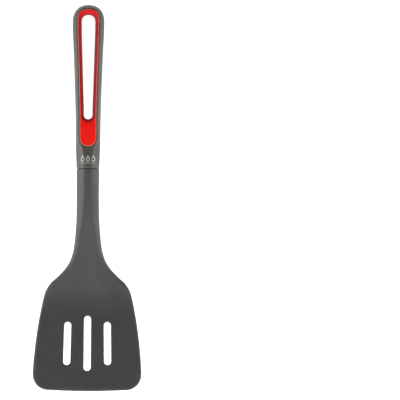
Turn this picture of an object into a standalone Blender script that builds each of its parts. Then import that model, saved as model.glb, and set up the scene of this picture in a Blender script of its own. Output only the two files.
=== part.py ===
"""A slotted turner for grilling: a nylon head whose tang snaps into a hard grip with a soft liner.

Run with: blender --background --python part.py

It is made of three mouldings, each its own object:
  turner_head   blade, neck and tang, one stiff dark grey moulding
  handle_body   hard grey grip with the tang's socket and a long window
  grip_liner    soft red lining of the window, with a thumb pad on each face of the grip

Everything is laid out flat first. A station is a distance in plan from the blade's front edge,
x runs across, and a height is measured from the mid surface. on_spine then bends the flat layout
onto the turner's side profile: straight grip, straight neck, heel, straight blade.
The finished turner rests right side up on its heel and the end of its grip, at z = 0.
"""

import math

import bmesh
import bpy
import numpy as np
from mathutils import Vector
from mathutils.geometry import delaunay_2d_cdt

MM = 0.001

# Stations along the turner, from the front edge.
LENGTH = 340.3 * MM
SEAM = 196.2 * MM  # where the neck's shoulder meets the grip
GAP = 0.3 * MM  # clearance between touching pieces

# Side profile: (station, heading). The heading is the climb towards the grip's end, and it is
# measured from the grip's own axis. Between two different headings the spine is an arc.
NECK_DROP = math.radians(9)
BLADE_RISE = math.radians(18)
SPINE = (
    (0, -BLADE_RISE),
    (64 * MM, -BLADE_RISE),
    (89 * MM, NECK_DROP),
    (160 * MM, NECK_DROP),
    (SEAM, 0),
    (LENGTH, 0),
)

# Head: half-width, half-height and width of the rolled edge at stations, in millimetres.
HEAD_HALF_WIDTH = (
    (14.9, 47.8), (38, 46.2), (59, 43.5), (78, 40.0), (87.3, 37.6), (94.4, 33.5), (101.4, 26.1),
    (108.5, 19.5), (115.5, 15.3), (125, 12.5), (140, 10.75), (155, 9.95), (175, 9.8), (196.2, 9.95),
)
HEAD_HALF_HEIGHT = ((0, 1.2), (80, 1.2), (100, 1.8), (150, 4.05), (185, 5.6), (196.2, 6.05))
HEAD_ROLL = (
    (0, 0.5), (12, 1.0), (82, 1.0), (95, 2.4), (133, 3.0), (150, 4.8), (166, 6.2), (196.2, 6.8),
)
HEAD_ROLL_SHAPE = (1.05, 1.5)  # exponents: 1 and 1 make a straight chamfer, 2 and 2 an ellipse
CORNER_RADIUS = 14 * MM  # front corners of the blade
FRONT_RADIUS = 600 * MM  # the front edge is a very flat arc
WEDGE_LENGTH = 4.5 * MM  # both faces slope towards each other to a thin front edge
WEDGE_DROP = 0.2 * MM  # how far the top face comes down
WEDGE_RISE = 1.2 * MM  # how far the underside comes up

# Drain slots: (x of the middle, lowest station, highest station, fan angle).
SLOT_HALF_WIDTH = 3.12 * MM
SLOTS = (
    (0, 17.8 * MM, 66.8 * MM, 0),
    (17.7 * MM, 23 * MM, 61.4 * MM, math.radians(1)),
    (-17.7 * MM, 23 * MM, 61.4 * MM, math.radians(-1)),
)
SLOT_EDGE = 0.4 * MM

# Tang: (distance past the seam, growth of its section), with two snap ridges and a led-in tip.
TANG_HALF_WIDTH = 6.6 * MM
TANG_HALF_HEIGHT = 3.0 * MM
TANG_ROLL = 2.6 * MM
TANG_LENGTH = 32 * MM
RIDGE = 0.5 * MM
TANG_STEPS = (
    (0, 0), (8 * MM, 0), (9 * MM, RIDGE), (11 * MM, 0),
    (20 * MM, 0), (21 * MM, RIDGE), (23 * MM, 0), (30.5 * MM, 0), (TANG_LENGTH, -1 * MM),
)

# Grip: half-width, half-height and rolled edge, in millimetres, and the depth of its round end.
# Its tables start a gap past the seam.
GRIP_HALF_WIDTH = (
    (196.5, 10.05), (208, 10.5), (221, 10.85), (236, 11.0), (264, 11.7), (296, 12.9), (325, 14.0),
)
GRIP_HALF_HEIGHT = ((196.5, 6.35), (250, 7.2), (300, 7.0), (325, 6.4), (340, 6.1))
GRIP_ROLL = (
    (196.5, 6.8), (208, 6.5), (214, 5.6), (218.5, 3.45), (222, 2.5), (236, 2.55), (264, 2.9),
    (296, 3.3), (325, 3.5), (340, 2.9),
)
GRIP_END_DEPTH = LENGTH - GRIP_HALF_WIDTH[-1][0] * MM
GRIP_ROLL_SHAPE = (1.05, 1.5)
END_SQUARENESS = 2.3  # exponent of the round ends in plan

# Liner: half-widths in millimetres of its outline and of the hanging hole's narrowest section.
LINER_HALF_WIDTH = ((222.8, 7.4), (250, 7.42), (264, 7.76), (292, 8.56), (306, 9.0), (327.4, 9.57))
LINER_LOW_DEPTH = 7.4 * MM
LINER_HIGH_DEPTH = 9 * MM
LINER_PROUD = 0.4 * MM  # how far the liner stands out of the grip's faces
LINER_EDGE = 0.5 * MM
WINDOW_EDGE = 0.15 * MM
KEY_DEPTH = 0.8 * MM  # a rib round the liner at mid height sits in a groove in the window's wall
KEY_HALF_HEIGHT = 1.2 * MM
HOLE_HALF_WIDTH = ((243.2, 3.7), (264, 4.28), (292, 5.1), (325.3, 5.9))
HOLE_LOW_DEPTH = 3.7 * MM
HOLE_HIGH_DEPTH = 6 * MM
HOLE_FLARE = 2.8 * MM  # the hole widens by this much from mid height to each face
HOLE_SCOOP = 3 * MM  # and by this much more at its lower end, where the thumb rests
HOLE_SQUARENESS = 1.5
SCOOP_SQUARENESS = 3.0

# The bridge of grip material between the two thumb pads, which holds the tang.
BRIDGE_HALF_HEIGHT = 5 * MM
BRIDGE_END = 233 * MM
BRIDGE_START = 213 * MM
BRIDGE_CORNER = 7 * MM
BRIDGE_BEVEL = 0.8 * MM

# Fineness of the surfaces.
OUTLINE_STEP = 3.6 * MM
CELL = 7 * MM
ROLL_STEPS = 3
SEAM_SPANS = 3


def smooth(table, station):
    """A length read off the smooth curve through a table's rows, which are in millimetres."""
    at = min(max(station / MM, table[0][0]), table[-1][0])
    last = len(table) - 1
    i = min(max(k for k in range(len(table)) if table[k][0] <= at), last - 1)
    slopes = [0.0] * len(table)
    for k in (i, i + 1):
        if 0 < k < last:
            before = (table[k][1] - table[k - 1][1]) / (table[k][0] - table[k - 1][0])
            after = (table[k + 1][1] - table[k][1]) / (table[k + 1][0] - table[k][0])
            if before * after > 0:
                slopes[k] = 2 * before * after / (before + after)
    span = table[i + 1][0] - table[i][0]
    t = (at - table[i][0]) / span
    value = (
        (1 + 2 * t) * (1 - t) ** 2 * table[i][1]
        + t * t * (3 - 2 * t) * table[i + 1][1]
        + span * t * (1 - t) * ((1 - t) * slopes[i] - t * slopes[i + 1])
    )
    return value * MM


def spine_height_and_heading(station):
    """Height and heading of the side profile at a station, with the grip's axis at height 0."""
    height = 0.0
    heading = SPINE[-1][1]
    for (low, low_heading), (high, high_heading) in zip(SPINE, SPINE[1:]):
        run = min(max(station, low), high) - low
        if low_heading == high_heading:
            height += run * math.tan(low_heading)
            here = low_heading
        else:
            radius = (high - low) / (math.sin(high_heading) - math.sin(low_heading))
            here = math.asin(math.sin(low_heading) + run / radius)
            height += radius * (math.cos(low_heading) - math.cos(here))
        if low <= station < high:
            heading = here
    return height, heading


SEAM_HEIGHT = spine_height_and_heading(SEAM)[0]


def on_spine(x, station, height):
    """A point of the flat layout, bent onto the side profile, with the seam at the origin."""
    spine_height, heading = spine_height_and_heading(station)
    return Vector(
        (
            x,
            station - SEAM - height * math.sin(heading),
            spine_height - SEAM_HEIGHT + height * math.cos(heading),
        )
    )


def head_faces(x, station):
    """Heights of the head's underside and top, which close in a wedge at the front edge."""
    half = smooth(HEAD_HALF_HEIGHT, station)
    into = station - x * x / (2 * FRONT_RADIUS)
    wedge = 1 - min(max(into / WEDGE_LENGTH, 0), 1)
    return WEDGE_RISE * wedge - half, half - WEDGE_DROP * wedge


def grip_faces(_, station):
    half = smooth(GRIP_HALF_HEIGHT, station)
    return -half, half


def liner_faces(_, station):
    half = smooth(GRIP_HALF_HEIGHT, station) + LINER_PROUD
    return -half, half


def even(path, step):
    """The same path with its points spaced evenly, about a step apart."""
    lengths = [(b - a).length for a, b in zip(path, path[1:])]
    count = max(2, round(sum(lengths) / step))
    marks = np.concatenate([[0], np.cumsum(lengths)])
    wanted = np.linspace(0, marks[-1], count + 1)
    xs = np.interp(wanted, marks, [p.x for p in path])
    ys = np.interp(wanted, marks, [p.y for p in path])
    return [Vector((float(x), float(y))) for x, y in zip(xs, ys)]


def mirrored(side):
    """A whole outline from its +X side, which starts and ends on the middle line or the seam."""
    other = [Vector((-p.x, p.y)) for p in reversed(side)]
    start = 1 if abs(side[-1].x) < 1e-9 else 0
    stop = -1 if abs(side[0].x) < 1e-9 else None
    return side + other[start:stop]


def superellipse(half_width, depth, exponent, count=40):
    """A quarter of a round end, from its side (x = half-width) to its tip (x = 0)."""
    angles = [math.pi / 2 * k / count for k in range(count + 1)]
    return [
        (half_width * max(math.cos(a), 0) ** (2 / exponent), depth * math.sin(a) ** (2 / exponent))
        for a in angles
    ]


def tapered_outline(table, low_depth, high_depth, step, grow=0.0):
    """A long outline with half-widths from a table and round ends, counter-clockwise."""
    low, high = table[0][0] * MM, table[-1][0] * MM
    side = []
    if low_depth:
        round_end = superellipse(smooth(table, low) + grow, low_depth + grow, 2)
        side += [Vector((x, low - y)) for x, y in reversed(round_end[1:])]
    count = 60
    for k in range(count + 1):
        station = low + (high - low) * k / count
        side.append(Vector((smooth(table, station) + grow, station)))
    round_end = superellipse(smooth(table, high) + grow, high_depth + grow, END_SQUARENESS)
    side += [Vector((x, high + y)) for x, y in round_end[1:]]
    return mirrored(even(side, step))


def head_outline(step):
    """The head's outline from the seam's -X end round the blade to its +X end."""
    corner_x = HEAD_HALF_WIDTH[0][1] * MM - CORNER_RADIUS
    corner_y = HEAD_HALF_WIDTH[0][0] * MM
    side = []
    count = 60
    for k in range(count + 1):
        x = corner_x * k / count
        side.append(Vector((x, x * x / (2 * FRONT_RADIUS))))
    turn = math.pi / 2 - math.asin(corner_x / FRONT_RADIUS)
    for k in range(1, count):
        angle = -turn * (1 - k / count)
        side.append(
            Vector(
                (corner_x + CORNER_RADIUS * math.cos(angle), corner_y + CORNER_RADIUS * math.sin(angle))
            )
        )
    for k in range(4 * count + 1):
        station = corner_y + (SEAM - corner_y) * k / (4 * count)
        side.append(Vector((smooth(HEAD_HALF_WIDTH, station), station)))
    right = even(side, step)
    left = [Vector((-p.x, p.y)) for p in reversed(right[1:])]
    return left + right


def slot_outline(x, low, high, fan, step):
    """A drain slot with round ends, clockwise because it bounds the material from inside."""
    half = (high - low) / 2
    middle = Vector((x, (low + high) / 2))
    side = [
        Vector((SLOT_HALF_WIDTH * math.cos(a), half - SLOT_HALF_WIDTH + SLOT_HALF_WIDTH * math.sin(a)))
        for a in [math.pi / 2 * k / 8 for k in range(9)]
    ]
    quarter = even(side, step / 2)
    right = [Vector((p.x, -p.y)) for p in reversed(quarter)] + quarter
    loop = mirrored(right)
    out = Vector((-math.sin(fan), math.cos(fan)))
    across = Vector((math.cos(fan), math.sin(fan)))
    return [middle + across * p.x + out * p.y for p in reversed(loop)]


def rolled_edge(shape, steps):
    """An edge profile that rolls from the underside round to the top.

    Shape gives the roll's width and its pair of exponents at a point and normal of the outline.
    """

    def profile(point, normal, _):
        reach, (crease, side) = shape(point, normal)
        rows = []
        for k in range(-steps, steps + 1):
            angle = math.pi / 2 * k / steps
            inset = reach * (1 - max(math.cos(angle), 0) ** (2 / crease))
            rows.append((inset, math.copysign(abs(math.sin(angle)) ** (2 / side), angle)))
        return rows

    return profile


def square_edge(radius, steps, key_inset=0.0, key_half_height=0.0):
    """An edge profile with an upright wall and a small round at each face.

    A key is a groove in the wall at mid height, or a rib where its inset is negative.
    """

    def profile(_, __, half):
        turns = [math.pi / 2 * k / steps for k in range(steps + 1)]
        upper = [(radius * (1 - math.cos(a)), 1 - radius * (1 - math.sin(a)) / half) for a in turns]
        if key_inset:
            up = key_half_height / half
            upper = [(key_inset, up), (0, up * 1.15)] + upper
        return [(inset, -up) for inset, up in reversed(upper)] + upper

    return profile


def inward_normals(path, closed):
    """Unit normals on the left of a path, which is the material's side."""
    normals = []
    for i, point in enumerate(path):
        before = path[i - 1] if i or closed else point
        after = path[(i + 1) % len(path)] if closed or i + 1 < len(path) else point
        along = (after - before).normalized()
        normals.append(Vector((-along.y, along.x)))
    if not closed:
        for i in (0, -1):
            normals[i] = Vector((math.copysign(1, normals[i].x), 0))
    return normals


def add_edge(bm, path, profile, faces, closed):
    """Rings of vertices round an outline, from the underside's edge up to the top's."""
    columns = []
    for point, normal in zip(path, inward_normals(path, closed)):
        low, high = faces(point.x, point.y)
        column = []
        for inset, up in profile(point, normal, (high - low) / 2):
            flat = point + normal * inset
            low, high = faces(flat.x, flat.y)
            height = (low + high) / 2 + (high - low) / 2 * up
            column.append((bm.verts.new(on_spine(flat.x, flat.y, height)), flat))
        columns.append(column)
    pairs = list(zip(columns, columns[1:])) + ([(columns[-1], columns[0])] if closed else [])
    for here, there in pairs:
        for k in range(len(here) - 1):
            bm.faces.new((here[k][0], there[k][0], there[k + 1][0], here[k + 1][0]))
    return columns


def inside(points, loops):
    """Which points lie in the region that the loops bound, by the even-odd rule."""
    odd = np.zeros(len(points), bool)
    for loop in loops:
        ends = np.roll(loop, -1, axis=0)
        for (x0, y0), (x1, y1) in zip(loop, ends):
            crosses = (y0 > points[:, 1]) != (y1 > points[:, 1])
            if y0 != y1:
                odd ^= crosses & (points[:, 0] < (x1 - x0) * (points[:, 1] - y0) / (y1 - y0) + x0)
    return odd


def fill_face(bm, loops, faces, is_top, cell):
    """One face of a plate: triangles between its loops, through a grid of inner points."""
    flats = [np.array([(flat.x, flat.y) for _, flat in loop]) / MM for loop in loops]
    edges = []
    start = 0
    for loop in loops:
        edges += [(start + i, start + (i + 1) % len(loop)) for i in range(len(loop))]
        start += len(loop)
    rim = np.concatenate(flats)
    size = cell / MM
    lows, highs = rim.min(axis=0), rim.max(axis=0)
    columns = np.arange(-math.ceil(highs[0] / size), math.ceil(highs[0] / size) + 1) * size
    stations = np.arange(lows[1] + size / 2, highs[1], size)
    grid = np.array([(x, y) for y in stations for x in columns])
    near = np.sqrt(((grid[:, None] - rim[None]) ** 2).sum(axis=2)).min(axis=1)
    grid = grid[inside(grid, flats) & (near > 0.55 * size)]
    points = [Vector((float(x), float(y))) for x, y in np.concatenate([rim, grid])]
    result = delaunay_2d_cdt(points, edges, [], 0, 1e-6)
    vertices = [vertex for loop in loops for vertex, _ in loop]
    for x, y in grid * MM:
        height = faces(x, y)[1 if is_top else 0]
        vertices.append(bm.verts.new(on_spine(float(x), float(y), height)))
    spots = np.array([tuple(p) for p in points])
    triangles = [[result[3][corner][0] for corner in face] for face in result[2]]
    centres = spots[np.array(triangles)].mean(axis=1)
    for triangle, keep in zip(triangles, inside(centres, flats)):
        if keep:
            corners = [vertices[i] for i in triangle]
            bm.faces.new(corners if is_top else corners[::-1])


def add_plate(bm, outline, holes, faces, cell, closed=True):
    """A plate bounded by an outline and holes, each a (path, profile) pair.

    An open outline ends on the seam. It then returns the ring of vertices there, unfilled.
    """
    rims = [add_edge(bm, *outline, faces, closed)]
    rims += [add_edge(bm, *hole, faces, True) for hole in holes]
    ends = {}
    for is_top in (False, True):
        level = -1 if is_top else 0
        loops = [[column[level] for column in rim] for rim in rims]
        if not closed:
            last, first = loops[0][-1][1], loops[0][0][1]
            ends[is_top] = []
            for k in range(1, SEAM_SPANS):
                flat = last.lerp(first, k / SEAM_SPANS)
                height = faces(flat.x, flat.y)[1 if is_top else 0]
                ends[is_top].append((bm.verts.new(on_spine(flat.x, flat.y, height)), flat))
            loops[0] = loops[0] + ends[is_top]
        fill_face(bm, loops, faces, is_top, cell)
    if closed:
        return []
    ring = [vertex for vertex, _ in rims[0][-1]] + [vertex for vertex, _ in ends[True]]
    ring += [vertex for vertex, _ in reversed(rims[0][0])]
    return ring + [vertex for vertex, _ in reversed(ends[False])]


def section(half_width, half_height, roll, steps):
    """The ring of (x, height) points of a flat bar with rolled sides, from its +X underside."""
    turns = [math.pi / 2 * k / steps for k in range(-steps, steps + 1)]
    flank = [(half_width - roll * (1 - math.cos(a)), half_height * math.sin(a)) for a in turns]
    flat = half_width - roll
    across = [flat * (1 - 2 * k / SEAM_SPANS) for k in range(1, SEAM_SPANS)]
    top = [(x, half_height) for x in across]
    other = [(-x, height) for x, height in reversed(flank)]
    bottom = [(-x, -half_height) for x in across]
    return flank + top + other + bottom


def add_bar(bm, rings, start=None):
    """A bar lofted through rings of points. It starts on a ring of vertices, or on a cap."""
    previous = start
    for ring in rings:
        vertices = [bm.verts.new(point) for point in ring]
        if previous is None:
            bm.faces.new(vertices)
        else:
            for i, vertex in enumerate(vertices):
                bm.faces.new((previous[i - 1], previous[i], vertex, vertices[i - 1]))
        previous = vertices
    bm.faces.new(previous)


def tang_rings(grow, lead):
    """Rings along the tang, or along its socket when they are grown. Lead moves the first one."""
    rings = []
    for step, (past, swell) in enumerate(TANG_STEPS):
        bigger = grow + swell
        bar = section(
            TANG_HALF_WIDTH + bigger, TANG_HALF_HEIGHT + bigger, TANG_ROLL + bigger, ROLL_STEPS
        )
        if step == 0:
            past -= lead
        elif step == len(TANG_STEPS) - 1:
            past += grow
        rings.append([Vector((x, past, height)) for x, height in bar])
    return rings


def material(name, colour, roughness):
    made = bpy.data.materials.new(name)
    made.use_nodes = True
    shader = made.node_tree.nodes["Principled BSDF"]
    shader.inputs["Base Color"].default_value = (*colour, 1)
    shader.inputs["Roughness"].default_value = roughness
    shader.inputs["Metallic"].default_value = 0
    return made


def finish(name, bm, finish_material, parent):
    """An object made from a bmesh, smooth except at its creases."""
    bmesh.ops.recalc_face_normals(bm, faces=bm.faces)
    mesh = bpy.data.meshes.new(name)
    bm.to_mesh(mesh)
    bm.free()
    mesh.shade_smooth()
    mesh.set_sharp_from_angle(angle=math.radians(40))
    made = bpy.data.objects.new(name, mesh)
    bpy.context.collection.objects.link(made)
    made.parent = parent
    if finish_material:
        mesh.materials.append(finish_material)
    return made


def combine(made, other, operation):
    """A Boolean with a guide solid, which the finished model leaves out."""
    other.hide_render = True
    other.display_type = "WIRE"
    modifier = made.modifiers.new(other.name, "BOOLEAN")
    modifier.operation = operation
    modifier.object = other
    modifier.solver = "EXACT"


def turner_head(parent):
    """Blade, neck and tang: a plate with three slots that thickens into the neck."""
    bm = bmesh.new()
    roll = rolled_edge(lambda p, _: (smooth(HEAD_ROLL, p.y), HEAD_ROLL_SHAPE), ROLL_STEPS)
    slots = [
        (slot_outline(*slot, OUTLINE_STEP), square_edge(SLOT_EDGE, 1)) for slot in SLOTS
    ]
    outline = head_outline(OUTLINE_STEP)
    end = add_plate(bm, (outline, roll), slots, head_faces, CELL, closed=False)
    add_bar(bm, tang_rings(0, 0), start=end)
    return finish("turner_head", bm, material("head_nylon", (0.058, 0.058, 0.056), 0.5), parent)


def window_block(parent, name, half_height, end, overlap):
    """A block across the grip's window, from inside the grip's lower end up to a station.

    Its lower corners and long edges are bevelled, which keeps them inside the grip's rolled edge.
    """
    bm = bmesh.new()
    low, high = BRIDGE_START - SEAM, end - SEAM
    shoulder = half_height - BRIDGE_BEVEL
    rings = []
    levels = [(-half_height, BRIDGE_BEVEL), (-shoulder, 0), (shoulder, 0), (half_height, BRIDGE_BEVEL)]
    for height, bevel in levels:
        width = smooth(LINER_HALF_WIDTH, end) + overlap - bevel
        right = [(width - BRIDGE_CORNER, low), (width, low + BRIDGE_CORNER), (width, high)]
        corners = right + [(-x, y) for x, y in reversed(right)]
        rings.append([Vector((x, y, height)) for x, y in corners])
    add_bar(bm, rings)
    return finish(name, bm, None, parent)


def handle_body(parent):
    """The grip: a plate with rolled edges, a window, a bridge across it and a socket."""
    bm = bmesh.new()
    roll = rolled_edge(lambda p, _: (smooth(GRIP_ROLL, p.y), GRIP_ROLL_SHAPE), ROLL_STEPS)
    outline = tapered_outline(GRIP_HALF_WIDTH, 0, GRIP_END_DEPTH, OUTLINE_STEP)
    window = tapered_outline(
        LINER_HALF_WIDTH, LINER_LOW_DEPTH, LINER_HIGH_DEPTH, OUTLINE_STEP, grow=GAP
    )
    groove = square_edge(WINDOW_EDGE, 1, KEY_DEPTH, KEY_HALF_HEIGHT + GAP)
    holes = [(window[::-1], groove)]
    end = add_plate(bm, (outline, roll), holes, grip_faces, CELL, closed=False)
    bm.faces.new(end)
    grip = finish("handle_body", bm, material("grip_grey", (0.14, 0.135, 0.125), 0.45), parent)
    block = window_block(parent, "bridge_block", BRIDGE_HALF_HEIGHT, BRIDGE_END, 1.5 * MM)
    combine(grip, block, "UNION")
    socket = bmesh.new()
    add_bar(socket, tang_rings(GAP, 3 * MM))
    combine(grip, finish("socket_cutter", socket, None, parent), "DIFFERENCE")
    return grip


def hole_shape(_, normal):
    """Width and exponents of the hanging hole's flared wall, which is a round lip at its low end."""
    low_end = max(-normal.y, 0) ** 3
    squareness = HOLE_SQUARENESS + (SCOOP_SQUARENESS - HOLE_SQUARENESS) * low_end
    return HOLE_FLARE + HOLE_SCOOP * low_end, (squareness, squareness)


def grip_liner(parent):
    """The soft liner: a ring round the hole, and a tongue on each face over the bridge."""
    bm = bmesh.new()
    outline = tapered_outline(LINER_HALF_WIDTH, LINER_LOW_DEPTH, LINER_HIGH_DEPTH, OUTLINE_STEP)
    hole = tapered_outline(HOLE_HALF_WIDTH, HOLE_LOW_DEPTH, HOLE_HIGH_DEPTH, OUTLINE_STEP / 1.4)
    wall = rolled_edge(hole_shape, ROLL_STEPS)
    edge = square_edge(LINER_EDGE, 1, -KEY_DEPTH, KEY_HALF_HEIGHT)
    add_plate(bm, (outline, edge), [(hole[::-1], wall)], liner_faces, CELL)
    liner = finish("grip_liner", bm, material("liner_red", (0.75, 0.02, 0.02), 0.5), parent)
    cutter = window_block(
        parent, "liner_cutter", BRIDGE_HALF_HEIGHT + GAP, BRIDGE_END + GAP, 3 * MM
    )
    combine(liner, cutter, "DIFFERENCE")
    return liner


def lowest(points, tilt):
    """The lowest height among (y, z) points after they are turned by a tilt about X."""
    return min(y * math.sin(tilt) + z * math.cos(tilt) for y, z in points)


def rest_on_table(root, head, grip, liner):
    """Turns the turner until its heel and its grip's end are level, and stands it at z = 0."""
    head_points = [(v.co.y, v.co.z) for v in head.data.vertices]
    grip_points = [(v.co.y, v.co.z) for made in (grip, liner) for v in made.data.vertices]
    low, high = math.radians(-20), math.radians(20)
    while high - low > 1e-7:
        tilt = (low + high) / 2
        if lowest(head_points, tilt) > lowest(grip_points, tilt):
            low = tilt
        else:
            high = tilt
    everything = head_points + grip_points
    along = [y * math.cos(tilt) - z * math.sin(tilt) for y, z in everything]
    root.rotation_euler.x = tilt
    root.location = (0, -(min(along) + max(along)) / 2, -lowest(everything, tilt))


def main():
    for old in list(bpy.data.objects):
        bpy.data.objects.remove(old)
    root = bpy.data.objects.new("turner", None)
    bpy.context.collection.objects.link(root)
    head = turner_head(root)
    grip = handle_body(root)
    liner = grip_liner(root)
    rest_on_table(root, head, grip, liner)


main()
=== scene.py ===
"""The looks of a slotted turner: fine surfaces, plastic and rubber finishes, light and camera.

The three mouldings of the frame are made again as fine, smooth meshes. Their sizes are the
frame's own, with narrower gaps and finer rounds:
  head_moulding   blade, neck and tang in matte dark grey nylon, for turner_head
  grip_moulding   the hard satin grey grip, for handle_body
  liner_moulding  the soft red lining and thumb pads with a bead along each edge, for grip_liner
A small generic print of three flames over a line lies on the grip above the seam. The ground is a
pale table that is lit from inside.

Everything is laid out flat first. A station is a distance in plan from the blade's front edge,
x runs across, and a height is measured from the mid surface. on_spine then bends the flat layout
onto the turner's side profile: straight grip, straight neck, heel, straight blade. Lengths are
in metres, and the tables of sizes at stations are in millimetres.
"""

import math

import bmesh
import bpy
import numpy as np
from mathutils import Matrix, Vector
from mathutils.geometry import delaunay_2d_cdt


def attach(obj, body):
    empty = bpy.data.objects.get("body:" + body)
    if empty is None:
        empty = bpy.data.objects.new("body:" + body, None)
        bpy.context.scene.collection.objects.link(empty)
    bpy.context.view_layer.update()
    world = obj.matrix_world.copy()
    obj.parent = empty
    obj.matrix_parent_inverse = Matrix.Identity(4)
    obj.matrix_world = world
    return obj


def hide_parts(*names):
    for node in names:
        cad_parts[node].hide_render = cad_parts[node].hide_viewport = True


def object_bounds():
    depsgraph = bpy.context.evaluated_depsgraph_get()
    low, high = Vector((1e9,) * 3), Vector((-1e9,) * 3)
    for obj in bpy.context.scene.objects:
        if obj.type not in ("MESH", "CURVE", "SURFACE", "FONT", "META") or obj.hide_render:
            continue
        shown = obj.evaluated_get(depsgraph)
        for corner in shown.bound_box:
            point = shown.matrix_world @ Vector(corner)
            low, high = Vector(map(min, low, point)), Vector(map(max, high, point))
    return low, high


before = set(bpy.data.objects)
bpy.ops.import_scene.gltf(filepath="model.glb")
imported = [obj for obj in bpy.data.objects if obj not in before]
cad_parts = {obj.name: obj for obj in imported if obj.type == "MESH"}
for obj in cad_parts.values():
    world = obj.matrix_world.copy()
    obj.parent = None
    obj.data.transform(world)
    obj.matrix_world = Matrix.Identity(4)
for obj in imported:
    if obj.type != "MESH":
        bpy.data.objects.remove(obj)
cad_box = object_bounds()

MM = 0.001

# Stations along the turner, from the front edge.
LENGTH = 340.3 * MM
SEAM = 196.2 * MM  # where the neck's shoulder meets the grip
GAP = 0.3 * MM  # clearance between the tang and its socket

# Side profile: (station, heading). The heading is the climb towards the grip's end, and it is
# measured from the grip's own axis. Between two different headings the spine is an arc.
NECK_DROP = math.radians(9)
BLADE_RISE = math.radians(18)
SPINE = (
    (0, -BLADE_RISE),
    (64 * MM, -BLADE_RISE),
    (89 * MM, NECK_DROP),
    (160 * MM, NECK_DROP),
    (SEAM, 0),
    (LENGTH, 0),
)

# Head: half-width, half-height and width of the rolled edge at stations, in millimetres.
HEAD_HALF_WIDTH = (
    (14.9, 47.8), (38, 46.2), (59, 43.5), (78, 40.0), (87.3, 37.6), (94.4, 33.5), (101.4, 26.1),
    (108.5, 19.5), (115.5, 15.3), (125, 12.5), (140, 10.75), (155, 9.95), (175, 9.8), (196.2, 9.95),
)
HEAD_HALF_HEIGHT = ((0, 1.2), (80, 1.2), (100, 1.8), (150, 4.05), (185, 5.6), (196.2, 6.05))
HEAD_ROLL = (
    (0, 0.5), (12, 1.0), (82, 1.0), (95, 2.4), (133, 3.0), (150, 4.8), (166, 6.2), (196.2, 6.8),
)
HEAD_ROLL_SHAPE = (1.05, 1.5)  # exponents: 1 and 1 make a straight chamfer, 2 and 2 an ellipse
ELLIPSE = 2
CORNER_RADIUS = 14 * MM  # front corners of the blade
FRONT_RADIUS = 600 * MM  # the front edge is a very flat arc
WEDGE_LENGTH = 4.5 * MM  # both faces slope towards each other to a thin front edge
WEDGE_DROP = 0.2 * MM  # how far the top face comes down
WEDGE_RISE = 1.2 * MM  # how far the underside comes up

# Drain slots: (x of the middle, lowest station, highest station, fan angle).
SLOT_HALF_WIDTH = 3.12 * MM
SLOTS = (
    (0, 17.8 * MM, 66.8 * MM, 0),
    (17.7 * MM, 23 * MM, 61.4 * MM, math.radians(1)),
    (-17.7 * MM, 23 * MM, 61.4 * MM, math.radians(-1)),
)
SLOT_EDGE = 0.4 * MM  # round of their edges

# Tang: (distance past the seam, growth of its section), with two snap ridges and a led-in tip.
TANG_HALF_WIDTH = 6.6 * MM
TANG_HALF_HEIGHT = 3.0 * MM
TANG_ROLL = 2.6 * MM
TANG_LENGTH = 32 * MM
RIDGE = 0.5 * MM
TANG_STEPS = (
    (0, 0), (8 * MM, 0), (9 * MM, RIDGE), (11 * MM, 0),
    (20 * MM, 0), (21 * MM, RIDGE), (23 * MM, 0), (30.5 * MM, 0), (TANG_LENGTH, -1 * MM),
)
SOCKET_LEAD = 3 * MM  # the body that cuts the socket starts this far before the seam

# Grip: half-width, half-height and rolled edge, in millimetres, and the depth of its round end.
# Its tables start a gap past the seam.
GRIP_HALF_WIDTH = (
    (196.5, 10.05), (208, 10.5), (221, 10.85), (236, 11.0), (264, 11.7), (296, 12.9), (325, 14.0),
)
GRIP_HALF_HEIGHT = ((196.5, 6.35), (250, 7.2), (300, 7.0), (325, 6.4), (340, 6.1))
GRIP_ROLL = (
    (196.5, 6.8), (208, 6.5), (214, 5.6), (218.5, 3.45), (222, 2.5), (236, 2.55), (264, 2.9),
    (296, 3.3), (325, 3.5), (340, 2.9),
)
GRIP_END_DEPTH = LENGTH - GRIP_HALF_WIDTH[-1][0] * MM
GRIP_ROLL_SHAPE = (1.05, 1.5)
END_SQUARENESS = 2.3  # exponent of the round ends in plan

# Liner: half-widths in millimetres of its outline and of the hanging hole's narrowest section.
LINER_HALF_WIDTH = ((222.8, 7.4), (250, 7.42), (264, 7.76), (292, 8.56), (306, 9.0), (327.4, 9.57))
LINER_LOW_DEPTH = 7.4 * MM
LINER_HIGH_DEPTH = 9 * MM
LINER_PROUD = 0.2 * MM  # how far the liner's faces stand out of the grip's
WINDOW_EDGE = 0.35 * MM  # round of the window's edges
KEY_DEPTH = 0.8 * MM  # a rib round the liner at mid height sits in a groove in the window's wall
KEY_HALF_HEIGHT = 1.2 * MM
KEY_TAPER = 1.15  # how many times taller the rib is at the wall than at its crest
HOLE_HALF_WIDTH = ((243.2, 3.7), (264, 4.28), (292, 5.1), (325.3, 5.9))
HOLE_LOW_DEPTH = 3.7 * MM
HOLE_HIGH_DEPTH = 6 * MM
HOLE_FLARE = 2.6 * MM  # the hole widens by this much from mid height to each face
HOLE_SCOOP = 3 * MM  # and by this much more at its lower end, where the thumb rests
HOLE_SQUARENESS = 1.5  # exponents of the wall's curve, at its sides and at its lower end
SCOOP_SQUARENESS = 3.0
SCOOP_FALLOFF = 3  # how quickly the lower end's shape gives way to the sides'

# The bridge of grip material between the two thumb pads, which holds the tang.
BRIDGE_HALF_HEIGHT = 5 * MM
BRIDGE_START = 213 * MM  # inside the grip, below the window
BRIDGE_END = 233 * MM
BRIDGE_CORNER = 7 * MM
BRIDGE_BEVEL = 0.8 * MM
BRIDGE_OVERLAP = 1.5 * MM  # how far it reaches into the grip at each side of the window
CLEARING_OVERLAP = 3 * MM  # and the same for the block that clears its place in the liner

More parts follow.
